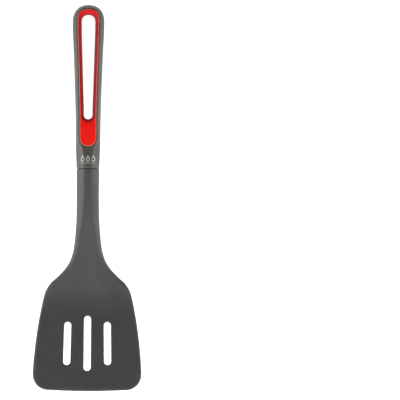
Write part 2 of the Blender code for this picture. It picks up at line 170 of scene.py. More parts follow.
# A raised bead along the liner's outer edge.
BEAD_RADIUS = 0.33 * MM
BEAD_RISE = 0.2 * MM  # swing of its curve; the crest is about 0.09 mm above the liner's face
BEAD_STEPS = 3  # spans in a quarter of it

# Print on the grip: three small flames over a thin line.
FLAME_COUNT = 3
FLAME_STEPS = 36
FLAME_PITCH = 4.7 * MM
FLAME_LOW = 202.3 * MM
FLAME_HEIGHT = 5.0 * MM
FLAME_HALF_WIDTH = 1.9 * MM
FLAME_POINTEDNESS = 1.6
FLAME_LEAN = 0.5 * MM  # sideways swing of the tip
FLAME_STROKE = 0.85 * MM
LINE_STATION = 200.6 * MM
LINE_HALF_LENGTH = 6.3 * MM
LINE_STROKE = 0.45 * MM
LINE_STEPS = 24
INK_PROUD = 0.06 * MM  # how far the film stands out of the grip, and how deep its back is buried
INK_SUNK = 0.1 * MM
INK_BLUNTNESS = 8  # how suddenly a line narrows at its ends
INK_TIP = 0.05  # what is left of a line's squared width at its ends

# Colours, as linear red, green and blue.
NYLON_DARK = (0.065, 0.065, 0.064)
NYLON_LIGHT = (0.073, 0.073, 0.072)
NYLON_FLECK = (0.080, 0.080, 0.079)
NYLON_EDGE = (0.09, 0.09, 0.089)
GRIP_DARK = (0.070, 0.064, 0.053)
GRIP_LIGHT = (0.079, 0.073, 0.061)
GRIP_EDGE = (0.10, 0.095, 0.088)
RUBBER_DARK = (0.90, 0.009, 0.004)
RUBBER_LIGHT = (0.96, 0.013, 0.006)
# Painted shade: the liner's steep walls, round the hanging hole, take this darker red.
RUBBER_WALL_SHADE = (0.35, 0.010, 0.012)
# Painted highlight: a pale red along the liner's bead, standing in for the light its round catches.
BEAD_HIGHLIGHT_DARK = (0.58, 0.13, 0.10)
BEAD_HIGHLIGHT_LIGHT = (0.64, 0.17, 0.14)
INK_DARK = (0.36, 0.36, 0.38)
INK_LIGHT = (0.55, 0.55, 0.57)
TABLE_DARK = (0.86, 0.86, 0.86)
TABLE_LIGHT = (0.88, 0.88, 0.88)

# The ground: a square table's side and cells, and the strength of the light it gives off.
FLOOR_SIZE = 8.0
FLOOR_CELLS = 8
TABLE_GLOW = 0.88

# Lights: (name, place, (width, height) of the light, power in watts). All face the turner.
LIGHTS = (
    ("key_left", (-0.6, 0, 0.25), (0.6, 0.4), 3.5),
    ("fill_right", (0.85, 0, 0.35), (0.6, 0.9), 5.4),
    ("fill_front", (0, -0.9, 0.25), (0.9, 0.3), 11.5),
)
LIGHT_AIM = (0, 0, 0)

# The studio around: (how steeply one looks up, as the height on a unit sphere, strength).
STUDIO_SIDES = (0.2, 0.05)
STUDIO_OVERHEAD = (0.95, 0.25)

# Camera: the width of what it frames, and where the frame's middle is from the turner's.
SENSOR_WIDTH = 36  # in millimetres, as a lens's length is
CAMERA_HEIGHT = 5.0
FRAME_WIDTH = 352.8 * MM
FRAME_TO_RIGHT = 98.7 * MM
FRAME_UP = -1.7 * MM
CAMERA_ROLL = math.radians(0.19)

# Small rounds on both pieces where they meet at the seam, and the gaps between the pieces.
HEAD_SEAM_ROUND = 0.75 * MM
GRIP_SEAM_ROUND = 0.35 * MM
SEAM_GAP = 0.2 * MM
WINDOW_GAP = 0.1 * MM  # the liner's fit in the grip's window

# Fineness of the surfaces.
OUTLINE_STEP = 1.0 * MM  # between points along an outline
HOLE_STEP = OUTLINE_STEP / 1.6
CELL = 1.7 * MM  # between the inner points of a face
LINER_CELL = 2.2 * MM
CLOSEST = 0.55  # how near its rim the inner points of a face come, in cells
ROLL_STEPS = 10  # spans in half of a rolled edge
EDGE_STEPS = 3  # spans in a small round
SLOT_END_STEPS = 8  # spans in a quarter of a slot's end
SEAM_SPANS = 8  # spans across a face where it ends at the seam
END_POINTS = 40  # in a quarter of a round end and along a curve, before they are spaced evenly
CURVE_POINTS = 60
CREASE_ANGLE = math.radians(40)  # edges that are sharper stay sharp in the shading

# Tolerances and limits.
ON_MIDDLE = 1e-9  # a point this near the middle line lies on it
WELD = 1e-6  # points nearer than this are one, in millimetres
MOST_TILT = math.radians(20)  # how far the turner may be turned to make it rest
TILT_ERROR = 1e-6


def smooth(table, station):
    """A length read off the smooth curve through a table's rows, which are in millimetres."""
    at = min(max(station / MM, table[0][0]), table[-1][0])
    last = len(table) - 1
    i = min(max(k for k in range(len(table)) if table[k][0] <= at), last - 1)
    slopes = [0.0] * len(table)
    for k in (i, i + 1):
        if 0 < k < last:
            before = (table[k][1] - table[k - 1][1]) / (table[k][0] - table[k - 1][0])
            after = (table[k + 1][1] - table[k][1]) / (table[k + 1][0] - table[k][0])
            if before * after > 0:
                slopes[k] = 2 * before * after / (before + after)
    span = table[i + 1][0] - table[i][0]
    t = (at - table[i][0]) / span
    value = (
        (1 + 2 * t) * (1 - t) ** 2 * table[i][1]
        + t * t * (3 - 2 * t) * table[i + 1][1]
        + span * t * (1 - t) * ((1 - t) * slopes[i] - t * slopes[i + 1])
    )
    return value * MM


def spine_height_and_heading(station):
    """Height and heading of the side profile at a station, with the grip's axis at height 0."""
    height = 0.0
    heading = SPINE[-1][1]
    for (low, low_heading), (high, high_heading) in zip(SPINE, SPINE[1:]):
        run = min(max(station, low), high) - low
        if low_heading == high_heading:
            height += run * math.tan(low_heading)
            here = low_heading
        else:
            radius = (high - low) / (math.sin(high_heading) - math.sin(low_heading))
            here = math.asin(math.sin(low_heading) + run / radius)
            height += radius * (math.cos(low_heading) - math.cos(here))
        if low <= station < high:
            heading = here
    return height, heading


SEAM_HEIGHT = spine_height_and_heading(SEAM)[0]


def on_spine(x, station, height):
    """A point of the flat layout, bent onto the side profile, with the seam at the origin."""
    spine_height, heading = spine_height_and_heading(station)
    return Vector(
        (
            x,
            station - SEAM - height * math.sin(heading),
            spine_height - SEAM_HEIGHT + height * math.cos(heading),
        )
    )


def front_edge(x):
    """The station of the blade's front edge, which curves away from its middle."""
    return x * x / (2 * FRONT_RADIUS)


def head_faces(x, station):
    """Heights of the head's underside and top, which close in a wedge at the front edge."""
    half = smooth(HEAD_HALF_HEIGHT, station)
    wedge = 1 - min(max((station - front_edge(x)) / WEDGE_LENGTH, 0), 1)
    return WEDGE_RISE * wedge - half, half - WEDGE_DROP * wedge


def grip_faces(_, station):
    half = smooth(GRIP_HALF_HEIGHT, station)
    return -half, half


def liner_faces(_, station):
    half = smooth(GRIP_HALF_HEIGHT, station) + LINER_PROUD
    return -half, half


def even(path, step):
    """The same path with its points spaced evenly, about a step apart."""
    lengths = [(b - a).length for a, b in zip(path, path[1:])]
    count = max(2, round(sum(lengths) / step))
    marks = np.concatenate([[0], np.cumsum(lengths)])
    wanted = np.linspace(0, marks[-1], count + 1)
    xs = np.interp(wanted, marks, [p.x for p in path])
    ys = np.interp(wanted, marks, [p.y for p in path])
    return [Vector((float(x), float(y))) for x, y in zip(xs, ys)]


def mirrored(side):
    """A whole outline from its +X side, which starts and ends on the middle line or the seam."""
    other = [Vector((-p.x, p.y)) for p in reversed(side)]
    start = 1 if abs(side[-1].x) < ON_MIDDLE else 0
    stop = -1 if abs(side[0].x) < ON_MIDDLE else None
    return side + other[start:stop]


def quarter_turn(steps):
    """Angles from nought to a right angle."""
    return [math.pi / 2 * k / steps for k in range(steps + 1)]


def superellipse(half_width, depth, exponent):
    """A quarter of a round end, from its side (x = half-width) to its tip (x = 0)."""
    return [
        (half_width * max(math.cos(a), 0) ** (2 / exponent), depth * math.sin(a) ** (2 / exponent))
        for a in quarter_turn(END_POINTS)
    ]


def tapered_outline(table, low_depth, high_depth, step, grow=0.0, start=None):
    """A long outline with half-widths from a table and round ends, counter-clockwise.

    It starts at the table's first row, or at another station.
    """
    low, high = start or table[0][0] * MM, table[-1][0] * MM
    side = []
    if low_depth:
        round_end = superellipse(smooth(table, low) + grow, low_depth + grow, ELLIPSE)
        side += [Vector((x, low - y)) for x, y in reversed(round_end[1:])]
    for k in range(CURVE_POINTS + 1):
        station = low + (high - low) * k / CURVE_POINTS
        side.append(Vector((smooth(table, station) + grow, station)))
    round_end = superellipse(smooth(table, high) + grow, high_depth + grow, END_SQUARENESS)
    side += [Vector((x, high + y)) for x, y in round_end[1:]]
    return mirrored(even(side, step))


def head_outline(step, seam):
    """The head's outline from its seam's -X end round the blade to its +X end."""
    corner_x = HEAD_HALF_WIDTH[0][1] * MM - CORNER_RADIUS
    corner_y = HEAD_HALF_WIDTH[0][0] * MM
    side = []
    for k in range(CURVE_POINTS + 1):
        x = corner_x * k / CURVE_POINTS
        side.append(Vector((x, front_edge(x))))
    turn = math.pi / 2 - math.asin(corner_x / FRONT_RADIUS)
    for k in range(1, CURVE_POINTS):
        angle = -turn * (1 - k / CURVE_POINTS)
        x = corner_x + CORNER_RADIUS * math.cos(angle)
        side.append(Vector((x, corner_y + CORNER_RADIUS * math.sin(angle))))
    flank_points = 4 * CURVE_POINTS
    for k in range(flank_points + 1):
        station = corner_y + (seam - corner_y) * k / flank_points
        side.append(Vector((smooth(HEAD_HALF_WIDTH, station), station)))
    right = even(side, step)
    left = [Vector((-p.x, p.y)) for p in reversed(right[1:])]
    return left + right


def slot_outline(x, low, high, fan, step):
    """A drain slot with round ends, clockwise because it bounds the material from inside."""
    half = (high - low) / 2
    middle = Vector((x, (low + high) / 2))
    side = [
        Vector((SLOT_HALF_WIDTH * math.cos(a), half - SLOT_HALF_WIDTH + SLOT_HALF_WIDTH * math.sin(a)))
        for a in quarter_turn(SLOT_END_STEPS)
    ]
    quarter = even(side, step / 2)
    right = [Vector((p.x, -p.y)) for p in reversed(quarter)] + quarter
    loop = mirrored(right)
    out = Vector((-math.sin(fan), math.cos(fan)))
    across = Vector((math.cos(fan), math.sin(fan)))
    return [middle + across * p.x + out * p.y for p in reversed(loop)]


def roll_rows(reach, shape, steps):
    """Rows of (inset, share of the half-height) for an edge that rolls from underside to top."""
    crease, side = shape
    rows = []
    for k in range(-steps, steps + 1):
        angle = math.pi / 2 * k / steps
        inset = reach * (1 - max(math.cos(angle), 0) ** (2 / crease))
        rows.append((inset, math.copysign(abs(math.sin(angle)) ** (2 / side), angle)))
    return rows


def rolled_edge(shape, steps):
    """An edge profile that rolls from the underside round to the top.

    Shape gives the roll's width and its pair of exponents at a point and normal of the outline.
    """

    def profile(point, normal, _):
        return roll_rows(*shape(point, normal), steps)

    return profile


def square_edge(radius, steps, key_inset=0.0, key_half_height=0.0):
    """An edge profile with an upright wall and a small round at each face.

    A key is a groove in the wall at mid height, or a rib where its inset is negative.
    """

    def profile(_, __, half):
        upper = [
            (radius * (1 - math.cos(a)), 1 - radius * (1 - math.sin(a)) / half)
            for a in quarter_turn(steps)
        ]
        if key_inset:
            up = key_half_height / half
            upper = [(key_inset, up), (0, up * KEY_TAPER)] + upper
        return [(inset, -up) for inset, up in reversed(upper)] + upper

    return profile


def inward_normals(path, closed):
    """Unit normals on the left of a path, which is the material's side."""
    normals = []
    for i, point in enumerate(path):
        before = path[i - 1] if i or closed else point
        after = path[(i + 1) % len(path)] if closed or i + 1 < len(path) else point
        along = (after - before).normalized()
        normals.append(Vector((-along.y, along.x)))
    if not closed:
        for i in (0, -1):
            normals[i] = Vector((math.copysign(1, normals[i].x), 0))
    return normals


def add_edge(bm, path, profile, faces, closed):
    """Rings of vertices round an outline, from the underside's edge up to the top's."""
    columns = []
    for point, normal in zip(path, inward_normals(path, closed)):
        low, high = faces(point.x, point.y)
        column = []
        for inset, up in profile(point, normal, (high - low) / 2):
            flat = point + normal * inset
            low, high = faces(flat.x, flat.y)
            height = (low + high) / 2 + (high - low) / 2 * up
            column.append((bm.verts.new(on_spine(flat.x, flat.y, height)), flat))
        columns.append(column)
    pairs = list(zip(columns, columns[1:])) + ([(columns[-1], columns[0])] if closed else [])
    for here, there in pairs:
        for k in range(len(here) - 1):
            bm.faces.new((here[k][0], there[k][0], there[k + 1][0], here[k + 1][0]))
    return columns


def inside(points, loops):
    """Which points lie in the region that the loops bound, by the even-odd rule."""
    odd = np.zeros(len(points), bool)
    for loop in loops:
        ends = np.roll(loop, -1, axis=0)
        for (x0, y0), (x1, y1) in zip(loop, ends):
            crosses = (y0 > points[:, 1]) != (y1 > points[:, 1])
            if y0 != y1:
                odd ^= crosses & (points[:, 0] < (x1 - x0) * (points[:, 1] - y0) / (y1 - y0) + x0)
    return odd


def fill_face(bm, loops, faces, is_top, cell):
    """One face of a plate: triangles between its loops, through a grid of inner points."""
    flats = [np.array([(flat.x, flat.y) for _, flat in loop]) / MM for loop in loops]
    edges = []
    start = 0
    for loop in loops:
        edges += [(start + i, start + (i + 1) % len(loop)) for i in range(len(loop))]
        start += len(loop)
    rim = np.concatenate(flats)
    size = cell / MM
    lows, highs = rim.min(axis=0), rim.max(axis=0)
    columns = np.arange(-math.ceil(highs[0] / size), math.ceil(highs[0] / size) + 1) * size
    stations = np.arange(lows[1] + size / 2, highs[1], size)
    grid = np.array([(x, y) for y in stations for x in columns])
    near = np.sqrt(((grid[:, None] - rim[None]) ** 2).sum(axis=2)).min(axis=1)
    grid = grid[inside(grid, flats) & (near > CLOSEST * size)]
    points = [Vector((float(x), float(y))) for x, y in np.concatenate([rim, grid])]
    _, _, filled, originals, _, _ = delaunay_2d_cdt(points, edges, [], 0, WELD)
    vertices = [vertex for loop in loops for vertex, _ in loop]
    for x, y in grid * MM:
        height = faces(x, y)[1 if is_top else 0]
        vertices.append(bm.verts.new(on_spine(float(x), float(y), height)))
    spots = np.array([tuple(p) for p in points])
    triangles = [[originals[corner][0] for corner in face] for face in filled]
    centres = spots[np.array(triangles)].mean(axis=1)
    for triangle, keep in zip(triangles, inside(centres, flats)):
        if keep:
            corners = [vertices[i] for i in triangle]
            bm.faces.new(corners if is_top else corners[::-1])


def add_plate(bm, outline, holes, faces, cell, closed=True):
    """A plate bounded by an outline and holes, each a (path, profile) pair.

    An open outline ends on the seam. It then returns the ring of vertices there, unfilled.
    """
    rims = [add_edge(bm, *outline, faces, closed)]
    rims += [add_edge(bm, *hole, faces, True) for hole in holes]
    ends = {}
    for is_top in (False, True):
        level = -1 if is_top else 0
        loops = [[column[level] for column in rim] for rim in rims]
        if not closed:
            last, first = loops[0][-1][1], loops[0][0][1]
            ends[is_top] = []
            for k in range(1, SEAM_SPANS):
                flat = last.lerp(first, k / SEAM_SPANS)
                height = faces(flat.x, flat.y)[1 if is_top else 0]
                ends[is_top].append((bm.verts.new(on_spine(flat.x, flat.y, height)), flat))
            loops[0] = loops[0] + ends[is_top]
        fill_face(bm, loops, faces, is_top, cell)
    if closed:
        return []
    ring = [vertex for vertex, _ in rims[0][-1]] + [vertex for vertex, _ in ends[True]]
    ring += [vertex for vertex, _ in reversed(rims[0][0])]
    return ring + [vertex for vertex, _ in reversed(ends[False])]


def section(half_width, half_height, roll, shape=(ELLIPSE, ELLIPSE)):
    """The ring of (x, height) points of a flat bar with rolled sides, from its +X underside."""
    rows = roll_rows(roll, shape, ROLL_STEPS)
    flank = [(half_width - inset, half_height * up) for inset, up in rows]
    flat = half_width - roll
    across = [flat * (1 - 2 * k / SEAM_SPANS) for k in range(1, SEAM_SPANS)]
    top = [(x, half_height) for x in across]
    other = [(-x, height) for x, height in reversed(flank)]
    bottom = [(-x, -half_height) for x in across]
    return flank + top + other + bottom


def add_bar(bm, rings, start=None):
    """A bar lofted through rings of points. It starts on a ring of vertices, or on a cap."""
    previous = start
    for ring in rings:
        vertices = [bm.verts.new(point) for point in ring]
        if previous is None:
            bm.faces.new(vertices)
        else:
            for i, vertex in enumerate(vertices):
                bm.faces.new((previous[i - 1], previous[i], vertex, vertices[i - 1]))
        previous = vertices
    bm.faces.new(previous)


def tang_rings(grow, lead):
    """Rings along the tang, or along its socket when they are grown. Lead moves the first one."""
    rings = []
    for step, (past, swell) in enumerate(TANG_STEPS):
        bigger = grow + swell
        bar = section(TANG_HALF_WIDTH + bigger, TANG_HALF_HEIGHT + bigger, TANG_ROLL + bigger)
        if step == 0:
            past -= lead
        elif step == len(TANG_STEPS) - 1:
            past += grow
        rings.append([Vector((x, past, height)) for x, height in bar])
    return rings


def lowest(points, tilt):
    """The lowest height among (y, z) points after they are turned by a tilt about X."""
    return min(y * math.sin(tilt) + z * math.cos(tilt) for y, z in points)


class Finish:
    """A Principled material that is put together node by node."""

    def __init__(self, name, roughness, specular=0.5):
        self.material = bpy.data.materials.new(name)
        self.material.use_nodes = True
        self.nodes = self.material.node_tree.nodes
        self.links = self.material.node_tree.links
        self.shader = self.nodes["Principled BSDF"]
        self.shader.inputs["Roughness"].default_value = roughness
        self.shader.inputs["Specular IOR Level"].default_value = specular
        self.shader.inputs["Metallic"].default_value = 0
        coordinates = self.node("ShaderNodeTexCoord").outputs
        self.place = coordinates["Object"]
        self.facing = coordinates["Normal"]

    def node(self, kind, **settings):
        made = self.nodes.new(kind)
        for key, value in settings.items():
            setattr(made, key, value)
        return made

    def noise(self, size, detail=2.0, stretch=(1, 1, 1)):
        """A cloud with blobs of a given size in metres, as values about 0.5."""
        mapping = self.node("ShaderNodeMapping")
        mapping.inputs["Scale"].default_value = stretch
        self.links.new(self.place, mapping.inputs["Vector"])
        cloud = self.node("ShaderNodeTexNoise")
        cloud.inputs["Scale"].default_value = 1 / size
        cloud.inputs["Detail"].default_value = detail
        self.links.new(mapping.outputs["Vector"], cloud.inputs["Vector"])
        return cloud.outputs["Fac"]

    def ramp(self, value, low, high, start=0.3, end=0.7):
        """Spreads a value between two numbers."""
        spread = self.node("ShaderNodeMapRange", interpolation_type="SMOOTHSTEP")
        spread.inputs["From Min"].default_value = start
        spread.inputs["From Max"].default_value = end
        spread.inputs["To Min"].default_value = low
        spread.inputs["To Max"].default_value = high
        self.links.new(value, spread.inputs["Value"])
        return spread.outputs["Result"]

    def mix(self, share, first, second):
        """A colour between two, each a colour or an output."""
        made = self.node("ShaderNodeMix", data_type="RGBA")
        self.links.new(share, made.inputs["Factor"])
        for key, value in (("A", first), ("B", second)):
            socket = [s for s in made.inputs if s.name == key and s.type == "RGBA"][0]
            if isinstance(value, tuple):
                socket.default_value = (*value, 1)
            else:
                self.links.new(value, socket)
        return [s for s in made.outputs if s.type == "RGBA"][0]

    def edges(self, start, end):
        """How far a spot lies on a rounded outer edge, from 0 on flats to 1 on sharp rounds."""
        return self.ramp(self.node("ShaderNodeNewGeometry").outputs["Pointiness"], 0, 1, start, end)

    def uprightness(self, upright, level):
        """How steep a surface is, from 0 where it is level to 1 where it is upright."""
        split = self.node("ShaderNodeSeparateXYZ")
        self.links.new(self.facing, split.inputs["Vector"])
        rise = self.node("ShaderNodeMath", operation="ABSOLUTE")
        self.links.new(split.outputs["Z"], rise.inputs[0])
        return self.ramp(rise.outputs["Value"], 1, 0, upright, level)

    def colour(self, output):
        self.links.new(output, self.shader.inputs["Base Color"])

    def roughness(self, output):
        self.links.new(output, self.shader.inputs["Roughness"])

    def bump(self, *layers):
        """Stacks bumps, each a (height output, depth in metres) pair."""
        normal = None
        for height, depth in layers:
            made = self.node("ShaderNodeBump")
            made.inputs["Distance"].default_value = depth
            made.inputs["Strength"].default_value = 1
            self.links.new(height, made.inputs["Height"])
            if normal:
                self.links.new(normal, made.inputs["Normal"])
            normal = made.outputs["Normal"]
        self.links.new(normal, self.shader.inputs["Normal"])


def nylon():
    """Dark grey glass-filled nylon: spark-eroded grain, faint clouding and lighter worn edges."""
    made = Finish("matte_nylon", roughness=0.5, specular=0.4)
    clouds = made.ramp(made.noise(22 * MM, detail=3), low=0, high=1)
    base = made.mix(clouds, NYLON_DARK, NYLON_LIGHT)
    flecks = made.ramp(made.noise(0.5 * MM, detail=1), low=0, high=0.35, start=0.62, end=0.75)
    base = made.mix(flecks, base, NYLON_FLECK)
    made.colour(made.mix(made.edges(start=0.505, end=0.56), base, NYLON_EDGE))
    made.roughness(made.ramp(made.noise(6 * MM, detail=4, stretch=(1, 0.3, 1)), low=0.44, high=0.58))
    grain = made.noise(0.35 * MM)
    made.bump((grain, 0.02 * MM), (made.noise(9 * MM, detail=1), 0.05 * MM))
    return made.material


def polypropylene():
    """Warm grey polypropylene with a finer, silkier grain than the head."""
    made = Finish("satin_polypropylene", roughness=0.42, specular=0.45)
    clouds = made.ramp(made.noise(18 * MM, detail=3), low=0, high=1)
    base = made.mix(clouds, GRIP_DARK, GRIP_LIGHT)
    made.colour(made.mix(made.edges(start=0.505, end=0.55), base, GRIP_EDGE))
    made.roughness(made.ramp(made.noise(4 * MM, detail=4, stretch=(1, 0.25, 1)), low=0.36, high=0.5))
    grain = made.noise(0.25 * MM)
    made.bump((grain, 0.012 * MM), (made.noise(7 * MM, detail=1), 0.04 * MM))
    return made.material


def rubber():
    """Soft red thermoplastic rubber: dense grain, faint clouding and painted shade, a darker red, on
    its steep walls.
    """
    made = Finish("soft_rubber", roughness=0.55, specular=0.15)
    clouds = made.ramp(made.noise(12 * MM, detail=3), low=0, high=1)
    base = made.mix(clouds, RUBBER_DARK, RUBBER_LIGHT)
    # Painted shade: the steeper a surface, the more its red turns to the darker wall red.
    made.colour(made.mix(made.uprightness(upright=0.75, level=1.0), base, RUBBER_WALL_SHADE))
    made.roughness(made.ramp(made.noise(3 * MM, detail=4), low=0.48, high=0.62))
    grain = made.noise(0.2 * MM)
    made.bump((grain, 0.015 * MM), (made.noise(5 * MM, detail=1), 0.03 * MM))
    return made.material


def rubber_bead_highlight():
    """The same rubber along the bead, glossier, with a pale painted highlight in its colour."""
    made = Finish("rubber_bead_painted_highlight", roughness=0.3)
    # Painted highlight: the bead's colour is a pale red.
    made.colour(made.mix(made.ramp(made.noise(5 * MM), low=0, high=1), BEAD_HIGHLIGHT_DARK, BEAD_HIGHLIGHT_LIGHT))
    made.bump((made.noise(0.3 * MM), 0.008 * MM))
    return made.material


def ink():
    """Pale grey pad-printing ink, slightly uneven where the film is thin."""
    made = Finish("pale_ink", roughness=0.5)
    made.colour(made.mix(made.ramp(made.noise(0.4 * MM), low=0, high=1), INK_DARK, INK_LIGHT))
    made.bump((made.noise(0.2 * MM), 0.01 * MM))
    return made.material


def light_table():
    """The pale ground: a white acrylic table that is lit from inside, as for catalogue shots."""
    made = Finish("white_acrylic", roughness=0.9, specular=0.2)
    made.shader.inputs["Emission Color"].default_value = (1, 1, 1, 1)
    made.shader.inputs["Emission Strength"].default_value = TABLE_GLOW
    clouds = made.ramp(made.noise(30 * MM, detail=4), low=0, high=1)
    made.colour(made.mix(clouds, TABLE_DARK, TABLE_LIGHT))
    made.bump((made.noise(0.8 * MM, detail=3), 0.02 * MM))
    return made.material


def solid(name, bm, finish=None):
    """An object made from a bmesh, smooth except at its creases."""
    bmesh.ops.recalc_face_normals(bm, faces=bm.faces)
    mesh = bpy.data.meshes.new(name)
    bm.to_mesh(mesh)
    bm.free()
    mesh.shade_smooth()
    mesh.set_sharp_from_angle(angle=CREASE_ANGLE)
    made = bpy.data.objects.new(name, mesh)
    bpy.context.collection.objects.link(made)
    if finish:
        mesh.materials.append(finish)
    return made


def carved(piece, *cuts):
    """The piece with Boolean (solid, operation) cuts applied to its mesh."""
    for other, operation in cuts:
        modifier = piece.modifiers.new(operation.lower(), "BOOLEAN")
        modifier.operation = operation
        modifier.object = other
        modifier.solver = "EXACT"
    bpy.context.view_layer.update()
    evaluated = piece.evaluated_get(bpy.context.evaluated_depsgraph_get())
    mesh = bpy.data.meshes.new_from_object(evaluated)
    piece.modifiers.clear()
    piece.data = mesh
    for other, _ in cuts:
        bpy.data.objects.remove(other)
    return piece


def seam_rings(tables, shape, start, reach):
    """Rings that round a piece over at the seam. They end on its flat end face.

    Reach is the round's radius, and it is negative for the piece on the grip's side.
    """
    widths, heights, rolls = tables
    rings = []
    for turn in quarter_turn(EDGE_STEPS)[1:]:
        inward = abs(reach) * (1 - math.cos(turn))
        bar = section(
            smooth(widths, start) - inward,
            smooth(heights, start) - inward,
            smooth(rolls, start),
            shape,
        )
        station = start + reach * math.sin(turn)
        flip = math.copysign(1, reach)
        rings.append([on_spine(x * flip, station, height) for x, height in bar])
    return rings


def head_moulding(finish):
    """Blade, neck and tang: a plate with three slots that thickens into the neck."""
    bm = bmesh.new()
    roll = rolled_edge(lambda p, _: (smooth(HEAD_ROLL, p.y), HEAD_ROLL_SHAPE), ROLL_STEPS)
    slots = [(slot_outline(*slot, OUTLINE_STEP), square_edge(SLOT_EDGE, EDGE_STEPS)) for slot in SLOTS]
    start = SEAM - HEAD_SEAM_ROUND
    outline = head_outline(OUTLINE_STEP, start)
    end = add_plate(bm, (outline, roll), slots, head_faces, CELL, closed=False)
    tables = (HEAD_HALF_WIDTH, HEAD_HALF_HEIGHT, HEAD_ROLL)
    shoulder = seam_rings(tables, HEAD_ROLL_SHAPE, start, HEAD_SEAM_ROUND)
    add_bar(bm, shoulder + tang_rings(0, 0), start=end)
    return solid("head_moulding", bm, finish)


def window_block(half_height, end, overlap):
    """A block across the grip's window, from inside the grip's lower end up to a station.

    Its lower corners and long edges are bevelled, which keeps them inside the grip's rolled edge.
    """
    bm = bmesh.new()
    low, high = BRIDGE_START - SEAM, end - SEAM
    shoulder = half_height - BRIDGE_BEVEL
    rings = []
    levels = [(-half_height, BRIDGE_BEVEL), (-shoulder, 0), (shoulder, 0), (half_height, BRIDGE_BEVEL)]
    for height, bevel in levels:
        width = smooth(LINER_HALF_WIDTH, end) + overlap - bevel
        right = [(width - BRIDGE_CORNER, low), (width, low + BRIDGE_CORNER), (width, high)]
        corners = right + [(-x, y) for x, y in reversed(right)]
        rings.append([Vector((x, y, height)) for x, y in corners])
    add_bar(bm, rings)
    return solid("block", bm)


def grip_moulding(finish):
    """The grip: a plate with rolled edges, a window, a bridge across it and a socket."""
    bm = bmesh.new()
    roll = rolled_edge(lambda p, _: (smooth(GRIP_ROLL, p.y), GRIP_ROLL_SHAPE), ROLL_STEPS)
    start = SEAM + SEAM_GAP + GRIP_SEAM_ROUND
    outline = tapered_outline(GRIP_HALF_WIDTH, 0, GRIP_END_DEPTH, OUTLINE_STEP, start=start)
    window = tapered_outline(
        LINER_HALF_WIDTH, LINER_LOW_DEPTH, LINER_HIGH_DEPTH, OUTLINE_STEP, grow=WINDOW_GAP
    )
    groove = square_edge(WINDOW_EDGE, EDGE_STEPS, KEY_DEPTH, KEY_HALF_HEIGHT + WINDOW_GAP)
    holes = [(window[::-1], groove)]
    end = add_plate(bm, (outline, roll), holes, grip_faces, CELL, closed=False)
    tables = (GRIP_HALF_WIDTH, GRIP_HALF_HEIGHT, GRIP_ROLL)
    mouth = seam_rings(tables, GRIP_ROLL_SHAPE, start, -GRIP_SEAM_ROUND)
    add_bar(bm, mouth, start=end)
    grip = solid("grip_moulding", bm, finish)
    socket = bmesh.new()
    add_bar(socket, tang_rings(GAP, SOCKET_LEAD))
    bridge = window_block(BRIDGE_HALF_HEIGHT, BRIDGE_END, BRIDGE_OVERLAP)
    return carved(grip, (bridge, "UNION"), (solid("socket", socket), "DIFFERENCE"))


def beaded_edge(radius, rise, key_inset, key_half_height):
    """An edge profile with a rib in its wall at mid height and a raised bead along each face."""

    def profile(_, __, half):
        upper = [(key_inset, key_half_height / half), (0, key_half_height * KEY_TAPER / half)]
        for k in range(2 * BEAD_STEPS + 1):
            turn = math.pi / 2 * k / BEAD_STEPS
            above = rise * math.sin(turn) - radius * (1 + math.cos(turn)) / 2
            upper.append((radius * (1 - math.cos(turn)), 1 + above / half))
        return [(inset, -up) for inset, up in reversed(upper)] + upper

    return profile


def hole_shape(_, normal):
    """Width and exponents of the hanging hole's flared wall, which is a round lip at its low end."""
    low_end = max(-normal.y, 0) ** SCOOP_FALLOFF
    squareness = HOLE_SQUARENESS + (SCOOP_SQUARENESS - HOLE_SQUARENESS) * low_end
    return HOLE_FLARE + HOLE_SCOOP * low_end, (squareness, squareness)


def liner_moulding(finish, bead_highlight_finish):
    """The soft liner: a ring round the hole, and a tongue on each face over the bridge.

    The beads along its outer edge take the second finish, which has a painted highlight.
    """
    bm = bmesh.new()
    outline = tapered_outline(LINER_HALF_WIDTH, LINER_LOW_DEPTH, LINER_HIGH_DEPTH, OUTLINE_STEP)
    hole = tapered_outline(HOLE_HALF_WIDTH, HOLE_LOW_DEPTH, HOLE_HIGH_DEPTH, HOLE_STEP)
    wall = rolled_edge(hole_shape, ROLL_STEPS)
    edge = beaded_edge(BEAD_RADIUS, BEAD_RISE, -KEY_DEPTH, KEY_HALF_HEIGHT)
    add_plate(bm, (outline, edge), [(hole[::-1], wall)], liner_faces, LINER_CELL)
    bead_spans = 2 * BEAD_STEPS
    rib_and_wall_spans = 5
    spans = 2 * bead_spans + rib_and_wall_spans
    # The bead's faces take the finish with the painted highlight.
    for i, face in enumerate(list(bm.faces)[: spans * len(outline)]):
        if min(i % spans, spans - 1 - i % spans) < bead_spans:
            face.material_index = 1
    liner = solid("liner_moulding", bm, finish)
    liner.data.materials.append(bead_highlight_finish)
    half_height = BRIDGE_HALF_HEIGHT + WINDOW_GAP
    block = window_block(half_height, BRIDGE_END + WINDOW_GAP, CLEARING_OVERLAP)
    return carved(liner, (block, "DIFFERENCE"))


def grip_top(x, station):
    """Height of the grip's top face below the window, with its bevelled flanks."""
    crease, side = GRIP_ROLL_SHAPE
    roll = smooth(GRIP_ROLL, station)
    inset = min((smooth(GRIP_HALF_WIDTH, station) - abs(x)) / roll, 1)
    lean = math.acos((1 - inset) ** (crease / 2))
    return smooth(GRIP_HALF_HEIGHT, station) * math.sin(lean) ** (2 / side)


